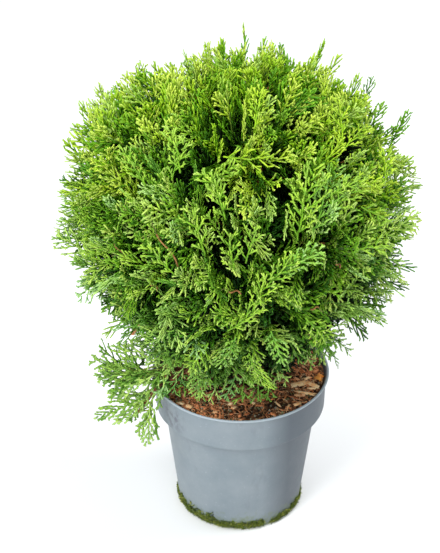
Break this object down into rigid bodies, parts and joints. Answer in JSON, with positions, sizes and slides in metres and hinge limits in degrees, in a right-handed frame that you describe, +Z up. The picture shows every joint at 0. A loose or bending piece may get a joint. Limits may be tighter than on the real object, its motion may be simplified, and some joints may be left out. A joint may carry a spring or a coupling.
{
  "type": "potted thuja",
  "caption": "Globe-shaped evergreen thuja with flat, fan-like sprays, standing in a plain grey nursery pot with a stepped collar.",
  "frame": {"origin": "centre of the pot's flat underside, on the surface that the pot stands on", "axes": "+Z up through the pot and the crown, -Y towards the viewer, +X to the viewer's right"},
  "size_m": [0.3573, 0.3585, 0.5388],
  "materials": {
    "pot": "satin",
    "soil": "matte",
    "bark": "matte",
    "foliage_fresh": "matte",
    "foliage_green": "matte",
    "foliage_deep": "matte"
  },
  "bodies": {
    "root": {"bough_02": "bark", "bough_03": "bark", "bough_04": "bark", "bough_05": "bark", "bough_06": "bark", "bough_07": "bark", "bough_08": "bark", "bough_09": "bark", "bough_10": "bark", "bough_11": "bark", "bough_12": "bark", "bough_13": "bark", "bough_14": "bark", "bough_15": "bark", "bough_16": "bark", "bough_17": "bark", "bough_18": "bark", "bough_19": "bark", "bough_20": "bark", "bough_21": "bark", "bough_22": "bark", "bough_23": "bark", "bough_24": "bark", "bough_low_1": "bark", "bough_low_2": "bark", "foliage_02": "foliage_fresh", "foliage_03": "foliage_fresh", "foliage_04": "foliage_fresh", "foliage_05": "foliage_fresh", "foliage_06": "foliage_fresh", "foliage_07": "foliage_fresh", "foliage_08": "foliage_green", "foliage_09": "foliage_green", "foliage_10": "foliage_green", "foliage_11": "foliage_green", "foliage_12": "foliage_green", "foliage_13": "foliage_green", "foliage_14": "foliage_green", "foliage_15": "foliage_green", "foliage_16": "foliage_green", "foliage_17": "foliage_green", "foliage_18": "foliage_deep", "foliage_19": "foliage_deep", "foliage_20": "foliage_deep", "foliage_21": "foliage_deep", "foliage_22": "foliage_deep", "foliage_23": "foliage_deep", "foliage_24": "foliage_deep", "foliage_low_1": "foliage_deep", "foliage_low_2": "foliage_deep", "foliage_top": "foliage_fresh", "pot": "pot", "soil": "soil", "trunk": "bark"}
  },
  "joints": []
}
